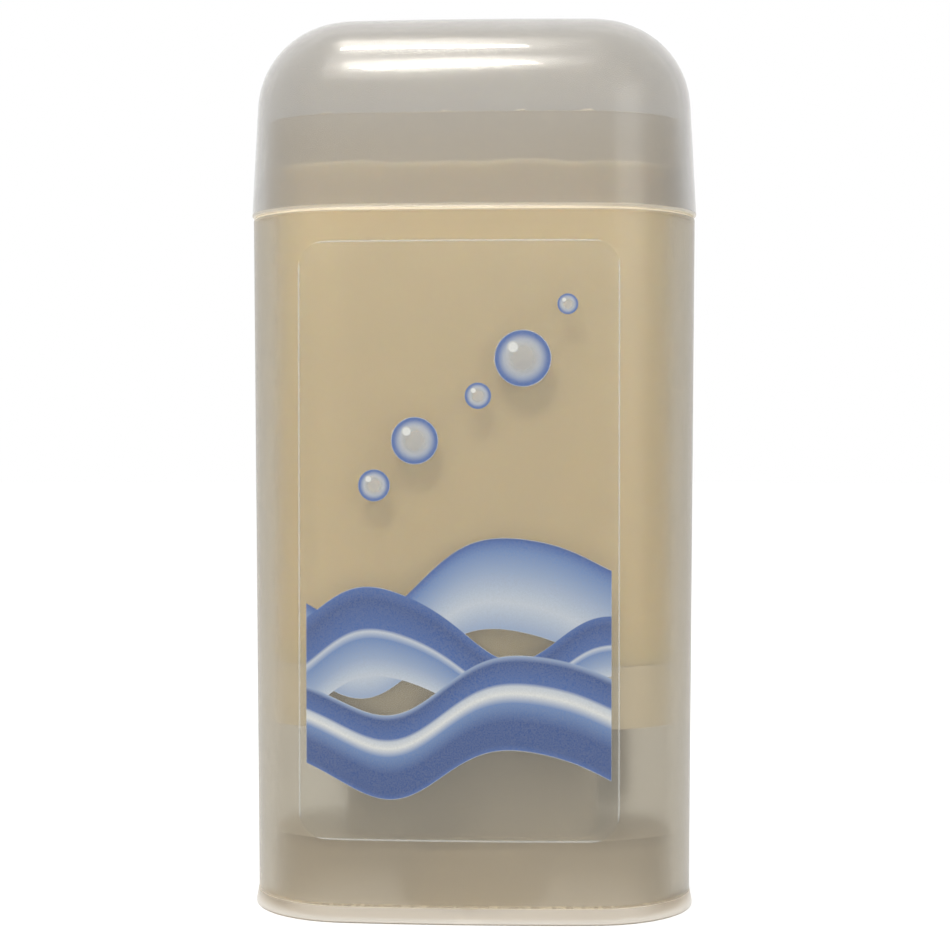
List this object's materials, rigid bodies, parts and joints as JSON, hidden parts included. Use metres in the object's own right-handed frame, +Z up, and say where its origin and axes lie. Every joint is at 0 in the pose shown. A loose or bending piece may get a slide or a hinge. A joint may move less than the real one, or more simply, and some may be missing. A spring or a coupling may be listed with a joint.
{
  "type": "deodorant stick",
  "caption": "Oval twist-up deodorant stick in a frosted translucent barrel with a slip-on cap, a bottom dial and film labels.",
  "frame": {"origin": "centre of the foot's underside, on the surface that the stick stands on", "axes": "+Z up along the height, +X across the wide face, the front label faces -Y"},
  "size_m": [0.05, 0.0254, 0.0991],
  "materials": {
    "frosted_shell": "frosted translucent polypropylene",
    "drive_plastic": "natural, milky",
    "carrier_plastic": "natural, milky",
    "gel_stick": "cloudy pale yellow soap gel",
    "printed_film": "clear film with a print in blues"
  },
  "bodies": {
    "barrel": {"barrel": "frosted_shell", "base": "frosted_shell", "front_label": "printed_film", "back_label": "printed_film"},
    "dial": {"dial": "drive_plastic", "feed_screw": "drive_plastic"},
    "carriage": {"carrier": "carrier_plastic", "deodorant_stick": "gel_stick"},
    "cap": {"cap": "frosted_shell"}
  },
  "joints": [
    {"name": "dial_turn", "type": "hinge", "parent": "barrel", "child": "dial", "pos_m": [0, 0, 0], "axis": [0, 0, 1], "range_deg": [0, 4860]},
    {"name": "stick_lift", "type": "slide", "parent": "barrel", "child": "carriage", "axis": [0, 0, 1], "range_m": [0, 0.054]},
    {"name": "cap_lift", "type": "slide", "parent": "carriage", "child": "cap", "axis": [0, 0, 1], "range_m": [0, 0.03]}
  ],
  "couplings": [
    {"joint": "dial_turn", "follows": "stick_lift", "rad_per_m": 1570.8}
  ]
}
